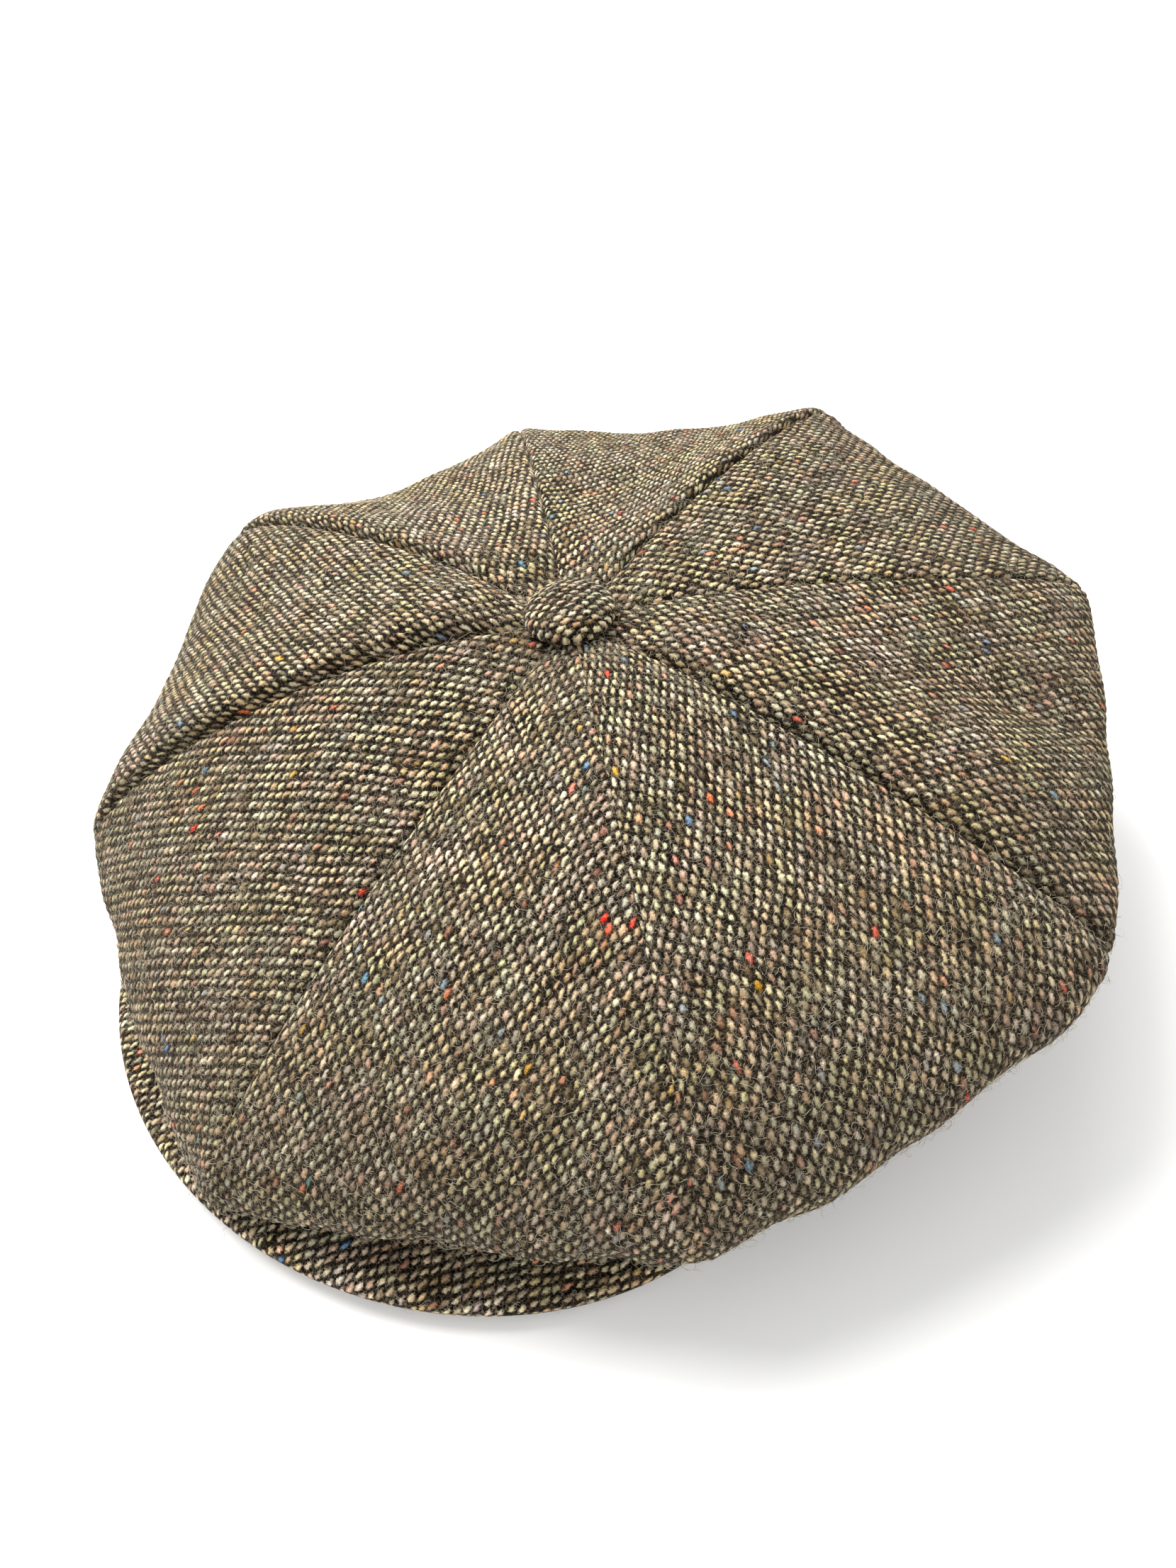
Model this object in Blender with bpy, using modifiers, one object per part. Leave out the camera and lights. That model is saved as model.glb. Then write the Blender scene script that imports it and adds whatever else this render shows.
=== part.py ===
"""Eight-panel newsboy cap in flecked tweed, lined, with a covered button and a snap-down peak.

Metres, +Z up, the wearer facing -Y, so the wearer's left side is +X. The origin is on the
surface that the cap lies on, below the middle of its outline.
"""

import math

import bmesh
import bpy
from mathutils import Matrix, Vector

MM = 0.001

# Head size: the sweatband's inner oval has a girth of 580 mm.
HEAD_HALF_WIDTH = 83.5 * MM
HEAD_HALF_LENGTH = 100.5 * MM
BAND_CENTRE = Vector((0.0, 9.5 * MM))

# Band, from inside to outside: sweatband, buckram stiffener, tweed headband.
SWEATBAND_THICKNESS = 0.8 * MM
STIFFENER_THICKNESS = 1.0 * MM
HEADBAND_THICKNESS = 1.5 * MM
BAND_HEIGHT = 28.0 * MM
SWEATBAND_FOOT = 1.2 * MM
STIFFENER_FOOT = 2.0 * MM
LAYER_GAP = 0.3 * MM
OVAL_POINTS = 64

# Crown: eight gores between seams that stand 45 degrees apart round a vertical axis.
CROWN_CENTRE = Vector((0.0, 6.0 * MM))
APEX_HEIGHT = 80.0 * MM
APEX_HOLE = 2.0 * MM
TWEED_THICKNESS = 1.5 * MM
LINING_THICKNESS = 0.5 * MM
LINING_APEX_DROP = 3.4 * MM
LINING_RIM_INSET = 8.0 * MM
LINING_RIM_RISE = 3.0 * MM
LINING_SHOULDER_SHARE = 0.3
LINING_LIP_SHARE = 0.1
LINING_FOOT_INSET = 2.4 * MM
LINING_FOOT_RISE = 3.0 * MM
SEAM_GAP = 0.3 * MM
RIM_ALONG = 0.72
GORE_SEGMENTS = (4, 15)
LINING_SEGMENTS = (3, 11)

# One line a seam, from the front seam round by the wearer's left:
# its azimuth in degrees, reach and height of the rim, how far along the reach the top line's
# handle stands and how high it lifts, how square the shoulder is, and how deep the lip turns
# under. Millimetres.
SEAMS = (
    (0.0, 147.0, 15.0, 0.47, -15.5, 21.0, 6.5),
    (46.0, 142.0, 30.0, 0.56, 5.0, 20.0, 12.5),
    (90.0, 142.8, 48.0, 0.36, -1.0, 9.5, 15.5),
    (136.0, 137.0, 59.5, 0.35, 4.5, 8.0, 15.0),
    (180.0, 135.0, 63.5, 0.47, 9.0, 17.0, 13.5),
    (226.0, 140.0, 51.0, 0.56, 6.0, 10.0, 10.0),
    (269.5, 142.8, 47.5, 0.57, 7.0, 20.5, 14.0),
    (314.0, 141.5, 25.5, 0.47, 7.5, 19.0, 13.0),
)
UNDER_HANDLE = 25.0 * MM
UNDER_SLOPE = 1.5 * MM
FOOT_OVERLAP = 1.0 * MM
FOOT_GAP = 0.6 * MM

# One line a panel, each starting at the seam of the same line above:
# how far its middle puffs outwards at the rim and upwards on top, in millimetres.
PANELS = (
    ("front_left", 3.0, 2.0),
    ("temple_left", 6.5, 2.0),
    ("side_left", 2.5, 2.3),
    ("back_left", -1.0, 1.5),
    ("back_right", 1.0, -4.5),
    ("side_right", -1.0, -5.0),
    ("temple_right", 0.0, 2.4),
    ("front_right", 3.3, 2.0),
)

# Covered button on the crown's apex, tilted forward with the cloth that it sits on.
BUTTON_RADIUS = 11.5 * MM
BUTTON_RISE = 6.0 * MM
BUTTON_TILT = math.radians(8.0)
BUTTON_LIFT = 1.6 * MM
BUTTON_CLOTH = 1.3 * MM
BUTTON_METAL = 0.6 * MM
COLLET_THICKNESS = 0.8 * MM
SHANK_WIRE_RADIUS = 0.35 * MM
SHANK_HALF_WIDTH = 0.8 * MM
SHANK_DROP = 6.0 * MM
TURNED_STEPS = 32

# Peak: a stiff core between two tweed covers, an oval in outline, hinged on its seam.
PEAK_HALF_WIDTH = 98.5 * MM
PEAK_HALF_DEPTH = 80.5 * MM
PEAK_CENTRE_Y = -59.5 * MM
PEAK_EDGE_END = math.radians(115.0)
PEAK_ROOT_END = math.radians(72.0)
PEAK_ROOT_GAP = 0.9 * MM
PEAK_CLOTH = 1.3 * MM
PEAK_CORE = 1.6 * MM
PEAK_CORE_INSET = 3.0 * MM
PEAK_LOWEST = 0.6 * MM
PEAK_ARCH = 2.4 * MM
PEAK_ROOT_RISE = 2.0 * MM
PEAK_SEGMENTS = (30, 4)

# Press stud between the peak and the crown's front lip.
STUD_CENTRE = Vector((0.0, -124.0 * MM))
STUD_FLANGE_RADIUS = 5.0 * MM
STUD_FLANGE_THICKNESS = 0.6 * MM
STUD_KNOB_RADIUS = 1.8 * MM
STUD_KNOB_HEIGHT = 1.1 * MM
STUD_SEAT_GAP = 0.3 * MM
SOCKET_RADIUS = 5.0 * MM
SOCKET_HOLE_RADIUS = 2.3 * MM
SOCKET_THICKNESS = 1.5 * MM

# Blank woven size tab, sewn to the sweatband at the back.
TAB_WIDTH = 16.0 * MM
TAB_HEIGHT = 10.0 * MM
TAB_THICKNESS = 0.3 * MM
TAB_FOOT = 12.0 * MM

TWEED = ("tweed", (0.23, 0.18, 0.12, 1.0), 0.95, 0.0)
LINING = ("lining_satin", (0.055, 0.045, 0.038, 1.0), 0.45, 0.0)
SWEAT = ("sweatband_cotton", (0.03, 0.026, 0.024, 1.0), 0.8, 0.0)
BUCKRAM = ("buckram", (0.6, 0.56, 0.47, 1.0), 0.9, 0.0)
BOARD = ("peak_board", (0.08, 0.08, 0.085, 1.0), 0.5, 0.0)
METAL = ("button_metal", (0.6, 0.6, 0.6, 1.0), 0.35, 1.0)
BRASS = ("snap_brass", (0.42, 0.3, 0.14, 1.0), 0.35, 1.0)
WOVEN = ("tab_weave", (0.62, 0.58, 0.5, 1.0), 0.8, 0.0)


def clear_scene():
    for obj in list(bpy.data.objects):
        bpy.data.objects.remove(obj)


def collection_named(name):
    collection = bpy.data.collections.new(name)
    bpy.context.scene.collection.children.link(collection)
    return collection


def material_of(recipe):
    name, colour, roughness, metallic = recipe
    if name in bpy.data.materials:
        return bpy.data.materials[name]
    material = bpy.data.materials.new(name)
    material.use_nodes = True
    shader = material.node_tree.nodes["Principled BSDF"]
    shader.inputs["Base Color"].default_value = colour
    shader.inputs["Roughness"].default_value = roughness
    shader.inputs["Metallic"].default_value = metallic
    material.diffuse_color = colour
    return material


def add_object(name, data, recipe, collection):
    data.materials.append(material_of(recipe))
    obj = bpy.data.objects.new(name, data)
    collection.objects.link(obj)
    return obj


def smoothstep(x):
    x = min(1.0, max(0.0, x))
    return x * x * (3.0 - 2.0 * x)


def bezier(points, t):
    """The point at t on a cubic Bezier curve through four control points."""
    a, b, c, d = points
    s = 1.0 - t
    return a * s**3 + b * (3 * s * s * t) + c * (3 * s * t * t) + d * t**3


def oval_point(angle, grow=0.0):
    """A point on the head oval grown outwards; angle 0 is the front, a quarter turn is +X."""
    return BAND_CENTRE + Vector((
        (HEAD_HALF_WIDTH + grow) * math.sin(angle),
        -(HEAD_HALF_LENGTH + grow) * math.cos(angle),
    ))


def band_reach(azimuth, grow):
    """Distance from the crown's axis to the grown head oval in the direction azimuth."""
    direction = Vector((math.sin(azimuth), -math.cos(azimuth)))
    start = CROWN_CENTRE - BAND_CENTRE
    width, length = HEAD_HALF_WIDTH + grow, HEAD_HALF_LENGTH + grow
    a = (direction.x / width) ** 2 + (direction.y / length) ** 2
    b = start.x * direction.x / width**2 + start.y * direction.y / length**2
    c = (start.x / width) ** 2 + (start.y / length) ** 2 - 1.0
    return (-b + math.sqrt(b * b - a * c)) / a


HEADBAND_OUTSIDE = (
    SWEATBAND_THICKNESS + STIFFENER_THICKNESS + HEADBAND_THICKNESS + 2 * LAYER_GAP
)


def foot_reach(azimuth, lined):
    """How far from the crown's axis the tweed, or the lining, ends above the band."""
    reach = band_reach(azimuth, HEADBAND_OUTSIDE - FOOT_OVERLAP)
    return reach - LINING_FOOT_INSET if lined else reach


def seam_point(seam, along, lined):
    """A point on a seam of the tweed, or of the lining inside it: along runs from the apex (0)
    over the rim to the band (1)."""
    azimuth, reach, rim, handle, lift, shoulder, lip = SEAMS[seam % len(SEAMS)]
    azimuth = math.radians(azimuth)
    reach, rim, lift, shoulder, lip = (n * MM for n in (reach, rim, lift, shoulder, lip))
    apex = APEX_HEIGHT
    foot = foot_reach(azimuth, lined)
    foot_height = BAND_HEIGHT + FOOT_GAP
    if lined:
        apex -= LINING_APEX_DROP
        reach -= LINING_RIM_INSET
        rim += LINING_RIM_RISE
        shoulder *= LINING_SHOULDER_SHARE
        lip *= LINING_LIP_SHARE
        foot_height += LINING_FOOT_RISE
    if along <= RIM_ALONG:
        line = (
            Vector((APEX_HOLE, apex)),
            Vector((handle * reach, apex + lift)),
            Vector((reach, rim + shoulder)),
            Vector((reach, rim)),
        )
        radius, height = bezier(line, along / RIM_ALONG)
    else:
        line = (
            Vector((reach, rim)),
            Vector((reach, rim - lip)),
            Vector((foot + UNDER_HANDLE, foot_height - UNDER_SLOPE)),
            Vector((foot, foot_height)),
        )
        radius, height = bezier(line, (along - RIM_ALONG) / (1.0 - RIM_ALONG))
    across = CROWN_CENTRE + radius * Vector((math.sin(azimuth), -math.cos(azimuth)))
    return across.to_3d() + Vector((0.0, 0.0, height))


def crown_point(panel, across, along, lined):
    """A point of a panel's outer side: across runs from -1 to 1 between its two seams."""
    first = seam_point(panel, along, lined)
    second = seam_point(panel + 1, along, lined)
    middle = (seam_point(panel, 1.0, lined) + seam_point(panel + 1, 1.0, lined)).xy / 2
    outward = (middle - CROWN_CENTRE).normalized()
    azimuth = math.atan2(outward.x, -outward.y)
    foot_puff = foot_reach(azimuth, lined) - (middle - CROWN_CENTRE).length
    turned = smoothstep((along - RIM_ALONG) / (1.0 - RIM_ALONG))
    rim_puff = PANELS[panel][1] * MM * smoothstep(along / RIM_ALONG)
    top_puff = PANELS[panel][2] * MM * math.sin(math.pi * min(1.0, along / RIM_ALONG))
    bulge = (outward * (rim_puff * (1.0 - turned) + foot_puff * turned)).to_3d()
    bulge.z = top_puff
    return first.lerp(second, (1.0 + across) / 2) + bulge * (1.0 - across * across)


def panel_point(panel, across, along, depth, lined):
    """A point at a depth inside a panel's outer side, moved only towards the crown's axis or
    up and down, so that cloth on one side of a seam never crosses it."""
    point = crown_point(panel, across, along, lined)
    step = 0.01
    ahead = crown_point(panel, across, min(1.0, along + step), lined)
    behind = crown_point(panel, across, max(0.0, along - step), lined)
    outward = (point.xy - CROWN_CENTRE).normalized()
    run = (ahead - behind).xy.dot(outward)
    rise = (ahead - behind).z
    length = math.hypot(run, rise)
    inward = (outward * (rise / length)).to_3d() + Vector((0.0, 0.0, -run / length))
    return point + inward * depth


def cloth_sheet(name, surface, segments, recipe, collection):
    """A closed sheet: two grids laid on surface(u, v, side), bridged along their edges."""
    bm = bmesh.new()
    for side in (0, 1):
        made = bmesh.ops.create_grid(
            bm, x_segments=segments[0], y_segments=segments[1], size=1.0
        )
        for vert in made["verts"]:
            vert.co = surface(vert.co.x, (vert.co.y + 1.0) / 2, side)
    rims = [edge for edge in bm.edges if edge.is_boundary]
    bmesh.ops.bridge_loops(bm, edges=rims)
    bmesh.ops.recalc_face_normals(bm, faces=bm.faces)
    if bm.calc_volume(signed=True) < 0.0:
        bmesh.ops.reverse_faces(bm, faces=bm.faces)
    mesh = bpy.data.meshes.new(name)
    bm.to_mesh(mesh)
    bm.free()
    mesh.shade_smooth()
    mesh.set_sharp_from_angle(angle=math.radians(50.0))
    return add_object(name, mesh, recipe, collection)


def make_gore(name, panel, thickness, lined, segments, recipe, collection):
    """One gore of the crown or of its lining, from the apex over the rim to the band."""

    def surface(u, v, side):
        width = (seam_point(panel + 1, v, lined) - seam_point(panel, v, lined)).length
        across = u * (1.0 - SEAM_GAP / width)
        return panel_point(panel, across, v, side * thickness, lined)

    return cloth_sheet(name, surface, segments, recipe, collection)


def make_crown(collection):
    for panel, (place, _, _) in enumerate(PANELS):
        make_gore(
            "crown_panel_" + place, panel, TWEED_THICKNESS, False,
            GORE_SEGMENTS, TWEED, collection,
        )
        make_gore(
            "lining_panel_" + place, panel, LINING_THICKNESS, True,
            LINING_SEGMENTS, LINING, collection,
        )


def make_oval_ring(name, grow_inside, thickness, foot, top, recipe, collection):
    """An upright oval band: a flat outline with a hole, extruded by half its height."""
    curve = bpy.data.curves.new(name, "CURVE")
    curve.dimensions = "2D"
    curve.fill_mode = "BOTH"
    curve.extrude = (top - foot) / 2
    for grow in (grow_inside, grow_inside + thickness):
        spline = curve.splines.new("POLY")
        spline.points.add(OVAL_POINTS - 1)
        spline.use_cyclic_u = True
        for i, point in enumerate(spline.points):
            at = oval_point(2 * math.pi * i / OVAL_POINTS, grow)
            point.co = (at.x, at.y, 0.0, 1.0)
    obj = add_object(name, curve, recipe, collection)
    obj.location.z = (top + foot) / 2
    return obj


def make_band(collection):
    stiffener_inside = SWEATBAND_THICKNESS + LAYER_GAP
    headband_inside = stiffener_inside + STIFFENER_THICKNESS + LAYER_GAP
    make_oval_ring(
        "sweatband", 0.0, SWEATBAND_THICKNESS, SWEATBAND_FOOT, BAND_HEIGHT, SWEAT, collection
    )
    make_oval_ring(
        "band_stiffener", stiffener_inside, STIFFENER_THICKNESS,
        STIFFENER_FOOT, BAND_HEIGHT, BUCKRAM, collection,
    )
    make_oval_ring(
        "headband", headband_inside, HEADBAND_THICKNESS, 0.0, BAND_HEIGHT, TWEED, collection
    )


def make_size_tab(collection):
    """A blank tab that follows the sweatband's inside at the back."""

    def surface(u, v, side):
        angle = math.pi + u * TAB_WIDTH / 2 / HEAD_HALF_WIDTH
        at = oval_point(angle, -LAYER_GAP - side * TAB_THICKNESS)
        return at.to_3d() + Vector((0.0, 0.0, TAB_FOOT + v * TAB_HEIGHT))

    cloth_sheet("size_tab", surface, (4, 2), WOVEN, collection)


def peak_underside(at):
    """Height of the peak's underside, arched across and rising from its front to its seam."""
    arch = PEAK_ARCH * (1.0 - (at.x / PEAK_HALF_WIDTH) ** 2)
    behind_front = (at.y - PEAK_CENTRE_Y) / PEAK_HALF_DEPTH + 1.0
    return PEAK_LOWEST + arch + PEAK_ROOT_RISE * behind_front


def peak_outline(u, out, inset):
    """A point of the peak seen from above: u runs from end to end, out from seam to edge."""
    root = oval_point(u * PEAK_ROOT_END, HEADBAND_OUTSIDE + PEAK_ROOT_GAP)
    turn = u * PEAK_EDGE_END
    edge = Vector((
        (PEAK_HALF_WIDTH - inset) * math.sin(turn),
        PEAK_CENTRE_Y - (PEAK_HALF_DEPTH - inset) * math.cos(turn),
    ))
    return root.lerp(edge, out)


def make_peak_layer(name, foot, thickness, inset, recipe, collection):
    reach = 1.0 - inset / PEAK_HALF_WIDTH

    def surface(u, v, side):
        at = peak_outline(u * reach, v, inset)
        height = peak_underside(at) + foot + side * thickness
        return at.to_3d() + Vector((0.0, 0.0, height))

    return cloth_sheet(name, surface, PEAK_SEGMENTS, recipe, collection)


PEAK_CORE_FOOT = PEAK_CLOTH + LAYER_GAP
PEAK_TOP_FOOT = PEAK_CORE_FOOT + PEAK_CORE + LAYER_GAP
PEAK_THICKNESS = PEAK_TOP_FOOT + PEAK_CLOTH


def make_peak(collection):
    make_peak_layer("peak_under_cover", 0.0, PEAK_CLOTH, 0.0, TWEED, collection)
    make_peak_layer(
        "peak_core", PEAK_CORE_FOOT, PEAK_CORE, PEAK_CORE_INSET, BOARD, collection
    )
    make_peak_layer("peak_top_cover", PEAK_TOP_FOOT, PEAK_CLOTH, 0.0, TWEED, collection)


def make_turned(name, profile, recipe, collection, turned_from=None):
    """A body turned about its own Z axis; profile runs down its outer side, top to bottom."""
    mesh = bpy.data.meshes.new(name)
    edges = [(i, i + 1) for i in range(len(profile) - 1)]
    mesh.from_pydata([(r, 0.0, z) for r, z in profile], edges, [])
    obj = add_object(name, mesh, recipe, collection)
    screw = obj.modifiers.new("Turn", "SCREW")
    screw.steps = TURNED_STEPS
    screw.render_steps = TURNED_STEPS
    screw.use_merge_vertices = True
    screw.merge_threshold = 0.00001
    screw.use_smooth_shade = True
    if turned_from is not None:
        obj.matrix_world = turned_from
    return obj


def dome(radius, rise, steps):
    """Points down a flattened dome's side, from its crown to its widest place."""
    quarter = [math.pi / 2 * i / steps for i in range(steps + 1)]
    return [(radius * math.sin(a), rise * math.cos(a)) for a in quarter]


def cup(radius, rise, wall, steps):
    """The profile of a dome with a wall, open below."""
    outside = dome(radius, rise, steps)
    inside = dome(radius - wall, rise - wall, steps)
    return outside + inside[::-1]


def make_button(collection):
    base = APEX_HEIGHT + BUTTON_LIFT
    place = Matrix.Translation(CROWN_CENTRE.to_3d() + Vector((0.0, 0.0, base)))
    place = place @ Matrix.Rotation(BUTTON_TILT, 4, "X")
    shell_radius = BUTTON_RADIUS - BUTTON_CLOTH - LAYER_GAP
    shell_rise = BUTTON_RISE - BUTTON_CLOTH - LAYER_GAP
    collet_radius = shell_radius - BUTTON_METAL - LAYER_GAP
    steps = 8
    make_turned(
        "button_cover", cup(BUTTON_RADIUS, BUTTON_RISE, BUTTON_CLOTH, steps),
        TWEED, collection, place,
    )
    make_turned(
        "button_shell", cup(shell_radius, shell_rise, BUTTON_METAL, steps),
        METAL, collection, place,
    )
    collet = [
        (0.0, COLLET_THICKNESS), (collet_radius, COLLET_THICKNESS),
        (collet_radius, 0.0), (0.0, 0.0),
    ]
    make_turned("button_collet", collet, METAL, collection, place)
    make_shank(collection, place)


def make_shank(collection, place):
    """The wire loop under the collet that is sewn down through the crown's apex."""
    curve = bpy.data.curves.new("button_shank", "CURVE")
    curve.dimensions = "3D"
    curve.bevel_depth = SHANK_WIRE_RADIUS
    curve.bevel_resolution = 2
    curve.use_fill_caps = True
    spline = curve.splines.new("POLY")
    bend = 8
    line = [Vector((-SHANK_HALF_WIDTH, 0.0, -LAYER_GAP))]
    for i in range(bend + 1):
        angle = math.pi * i / bend
        line.append(Vector((
            -SHANK_HALF_WIDTH * math.cos(angle),
            0.0,
            -SHANK_DROP - SHANK_HALF_WIDTH * math.sin(angle),
        )))
    line.append(Vector((SHANK_HALF_WIDTH, 0.0, -LAYER_GAP)))
    spline.points.add(len(line) - 1)
    for point, at in zip(spline.points, line):
        point.co = (*at, 1.0)
    obj = add_object("button_shank", curve, METAL, collection)
    obj.matrix_world = place
    return obj


def make_snap(collection):
    """The press stud: its stud stands on the peak, its socket hangs from the crown's lip."""
    floor = peak_underside(STUD_CENTRE) + PEAK_THICKNESS + STUD_SEAT_GAP
    knob = STUD_FLANGE_THICKNESS + STUD_KNOB_HEIGHT
    stud = [
        (0.0, knob), (STUD_KNOB_RADIUS, knob),
        (STUD_KNOB_RADIUS, STUD_FLANGE_THICKNESS),
        (STUD_FLANGE_RADIUS, STUD_FLANGE_THICKNESS),
        (STUD_FLANGE_RADIUS, 0.0), (0.0, 0.0),
    ]
    stand = Matrix.Translation(STUD_CENTRE.to_3d() + Vector((0.0, 0.0, floor)))
    make_turned("snap_stud", stud, BRASS, collection, stand)
    socket = [
        (SOCKET_HOLE_RADIUS, SOCKET_THICKNESS), (SOCKET_RADIUS, SOCKET_THICKNESS),
        (SOCKET_RADIUS, 0.0), (SOCKET_HOLE_RADIUS, 0.0),
        (SOCKET_HOLE_RADIUS, SOCKET_THICKNESS),
    ]
    seat = floor + STUD_FLANGE_THICKNESS + STUD_SEAT_GAP
    hang = Matrix.Translation(STUD_CENTRE.to_3d() + Vector((0.0, 0.0, seat)))
    make_turned("snap_socket", socket, BRASS, collection, hang)


def main():
    clear_scene()
    cap = collection_named("newsboy_cap")
    make_crown(cap)
    make_band(cap)
    make_size_tab(cap)
    make_peak(cap)
    make_snap(cap)
    make_button(cap)


main()
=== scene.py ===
import math

import bpy
import numpy as np
from mathutils import Matrix, Vector
from numpy.linalg import norm


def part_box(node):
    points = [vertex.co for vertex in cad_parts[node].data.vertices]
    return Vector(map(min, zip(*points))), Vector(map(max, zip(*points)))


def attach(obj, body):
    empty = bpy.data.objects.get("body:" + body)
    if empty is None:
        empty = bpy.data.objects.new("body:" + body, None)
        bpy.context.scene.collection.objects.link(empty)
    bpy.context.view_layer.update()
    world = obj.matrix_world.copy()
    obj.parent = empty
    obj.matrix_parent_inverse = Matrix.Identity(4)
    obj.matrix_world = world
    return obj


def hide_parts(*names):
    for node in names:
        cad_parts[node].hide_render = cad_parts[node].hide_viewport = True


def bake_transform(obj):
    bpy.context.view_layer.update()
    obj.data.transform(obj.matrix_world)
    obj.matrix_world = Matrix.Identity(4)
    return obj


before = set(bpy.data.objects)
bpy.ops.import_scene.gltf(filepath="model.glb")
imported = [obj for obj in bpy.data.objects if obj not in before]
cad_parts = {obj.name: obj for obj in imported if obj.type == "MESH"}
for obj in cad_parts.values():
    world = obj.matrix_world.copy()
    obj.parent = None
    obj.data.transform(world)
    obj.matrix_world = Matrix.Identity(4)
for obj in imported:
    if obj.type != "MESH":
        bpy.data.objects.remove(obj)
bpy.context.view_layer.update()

MM = 0.001

# ---- the cap's pattern
# Band: an oval round BAND_CENTRE. The crown's seams stand round a vertical axis.
HEAD_HALF = np.array([83.5, 100.5]) * MM
BAND_CENTRE = np.array([0.0, 9.5]) * MM
BAND_HEIGHT = 28.0 * MM
BAND_OUTSIDE = 3.9 * MM
CROWN_CENTRE = np.array([0.0, 6.0]) * MM
APEX_HEIGHT = 80.0 * MM
APEX_HOLE = 2.0 * MM
FOOT_REACH = BAND_OUTSIDE - 0.7 * MM
FOOT_HEIGHT = BAND_HEIGHT + 0.4 * MM
UNDER_HANDLE = 25.0 * MM
UNDER_SLOPE = 1.5 * MM
RIM_ALONG = 0.72
TWEED_THICKNESS = 1.3 * MM
SATIN_THICKNESS = 0.35 * MM
TURN = 8

# Azimuth in degrees, then reach, rim height, handle's share of the reach, lift, shoulder and
# lip of each seam, in millimetres.
SEAMS = (
    (0.0, 147.5, 15.0, 0.47, -15.5, 21.0, 6.5),
    (46.0, 142.5, 30.0, 0.56, 5.0, 20.0, 12.5),
    (90.0, 141.9, 46.8, 0.36, -1.0, 10.5, 15.5),
    (136.0, 137.5, 59.5, 0.35, 4.5, 8.0, 15.0),
    (180.0, 135.5, 63.5, 0.47, 9.0, 17.0, 13.5),
    (226.0, 140.5, 51.0, 0.56, 6.0, 10.0, 10.0),
    (269.5, 141.2, 47.3, 0.57, 7.0, 20.2, 14.0),
    (314.0, 140.8, 25.5, 0.47, 7.5, 19.0, 13.0),
)

# Name, how far the middle puffs out at the rim and lifts on top, how far the cloth rolls up
# beside the panel's first and second seam and how wide those rolls are, in millimetres, then
# how far the weave is turned from the panel's middle line, in degrees.
PANELS = (
    ("front_left", 3.0, 2.0, 0.4, 0.5, 3.0, 3.0, 5.5),
    ("temple_left", 6.5, 2.0, 0.5, 1.6, 3.0, 4.0, 3.0),
    ("side_left", 3.0, 2.3, 3.4, 0.9, 8.0, 4.0, 9.0),
    ("back_left", -1.0, 1.5, 0.9, 0.7, 4.0, 4.0, 3.0),
    ("back_right", 0.0, -5.5, 2.6, 1.3, 5.0, 5.0, -3.0),
    ("side_right", -3.2, -5.3, 1.5, 4.2, 5.0, 8.0, -6.0),
    ("temple_right", 0.0, 2.4, 0.8, 3.8, 4.0, 6.5, 4.0),
    ("front_right", 3.3, 2.0, 0.4, 0.5, 3.0, 3.0, 2.5),
)

# Swells (above 0) and dents (below 0) of single panels: panel, place across and along it, how
# far they spread across and along, and their height, in millimetres.
SWELLS = (
    (2, 3.0, 114.0, 8.5, 20.0, -2.4),
    (2, 14.0, 92.0, 24.0, 34.0, -1.8),
    (2, -20.0, 112.0, 10.0, 24.0, 0.9),
    (6, -30.0, 124.0, 18.0, 24.0, 3.6),
    (1, 38.0, 155.0, 18.0, 24.0, 2.9),
)

# How deep each seam sinks between its panels, in millimetres.
SEAM_GROOVES = (0.35, 0.35, 1.3, 0.6, 0.9, 0.7, 0.8, 1.2)


def smoothstep(x):
    x = np.clip(x, 0.0, 1.0)
    return x * x * (3.0 - 2.0 * x)


def bezier(points, t):
    """Points on a cubic Bezier curve through four (radius, height) control points."""
    t = np.asarray(t, float)[:, None]
    a, b, c, d = (np.array(p, float) for p in points)
    return a * (1 - t) ** 3 + b * 3 * t * (1 - t) ** 2 + c * 3 * t * t * (1 - t) + d * t**3


def around(count):
    """Even angles round a whole turn."""
    return np.linspace(0.0, 2 * math.pi, count, endpoint=False)


def unit(vectors):
    return vectors / norm(vectors, axis=-1, keepdims=True)


def outward_of(azimuth):
    return np.array([math.sin(azimuth), -math.cos(azimuth), 0.0])


def oval(angle, grow):
    """Points on the head oval grown by grow; angle 0 is the front and a quarter turn is +X."""
    angle = np.asarray(angle, float)
    x = BAND_CENTRE[0] + (HEAD_HALF[0] + grow) * np.sin(angle)
    y = BAND_CENTRE[1] - (HEAD_HALF[1] + grow) * np.cos(angle)
    return np.stack([x, y], -1)


def band_reach(azimuth, grow):
    """Distance from the crown's axis to the grown head oval."""
    direction = outward_of(azimuth)[:2]
    start = CROWN_CENTRE - BAND_CENTRE
    half = HEAD_HALF + grow
    a = ((direction / half) ** 2).sum()
    b = (start * direction / half**2).sum()
    c = ((start / half) ** 2).sum() - 1.0
    return (-b + math.sqrt(b * b - a * c)) / a


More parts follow.
